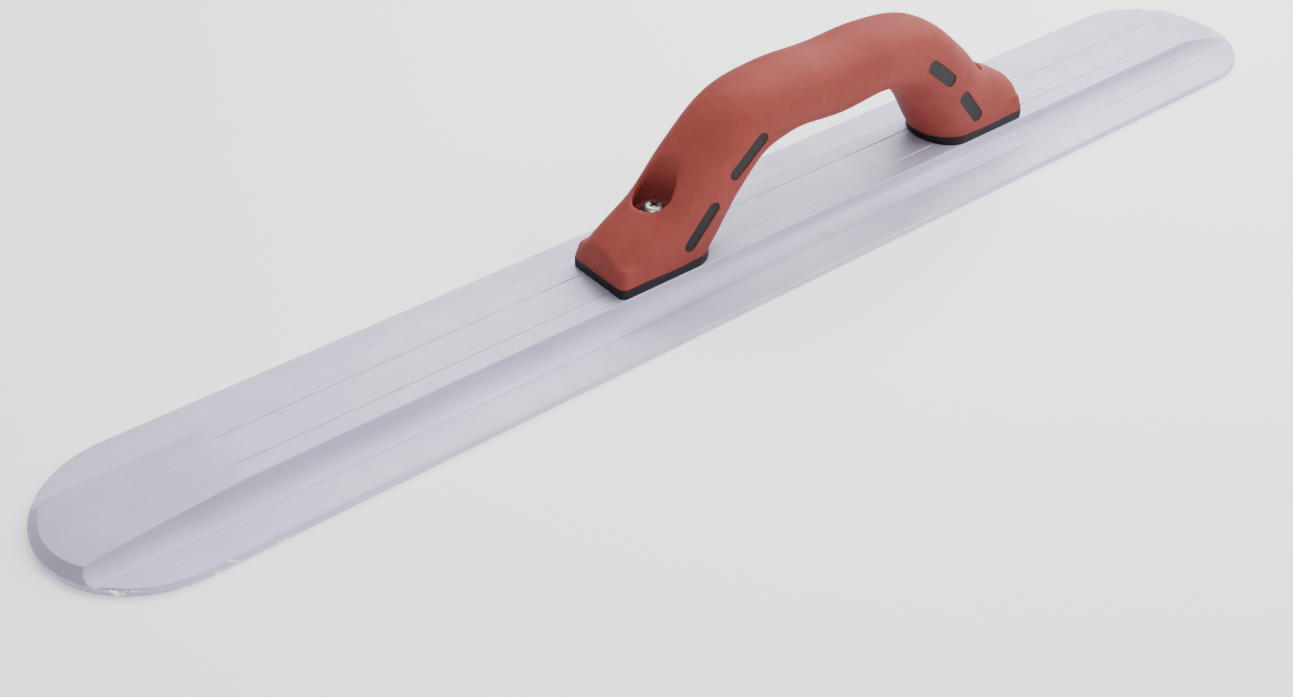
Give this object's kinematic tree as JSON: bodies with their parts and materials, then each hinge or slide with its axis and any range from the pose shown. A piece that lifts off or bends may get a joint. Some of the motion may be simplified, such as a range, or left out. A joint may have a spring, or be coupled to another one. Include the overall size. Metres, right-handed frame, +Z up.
{
  "type": "hand float",
  "caption": "Long magnesium hand float: a flat blade with a raised centre rail and rounded ends, and a bridge handle with a soft grip over a hard core, held by screws.",
  "frame": {"origin": "middle of the blade's flat working face", "axes": "+X along the blade towards the rear tip, +Z up from the working face through the handle, +Y across the blade"},
  "size_m": [0.6095, 0.0794, 0.0757],
  "materials": {
    "magnesium": "satin extruded magnesium",
    "core": "moulded, fine matte",
    "grip": "soft moulded, satin",
    "steel": "zinc plated",
    "washer_steel": "zinc plated"
  },
  "bodies": {
    "root": {"blade": "magnesium", "handle_core": "core", "handle_grip": "grip", "screw_front": "steel", "screw_rear": "steel", "washer_front": "washer_steel", "washer_rear": "washer_steel"}
  },
  "joints": []
}
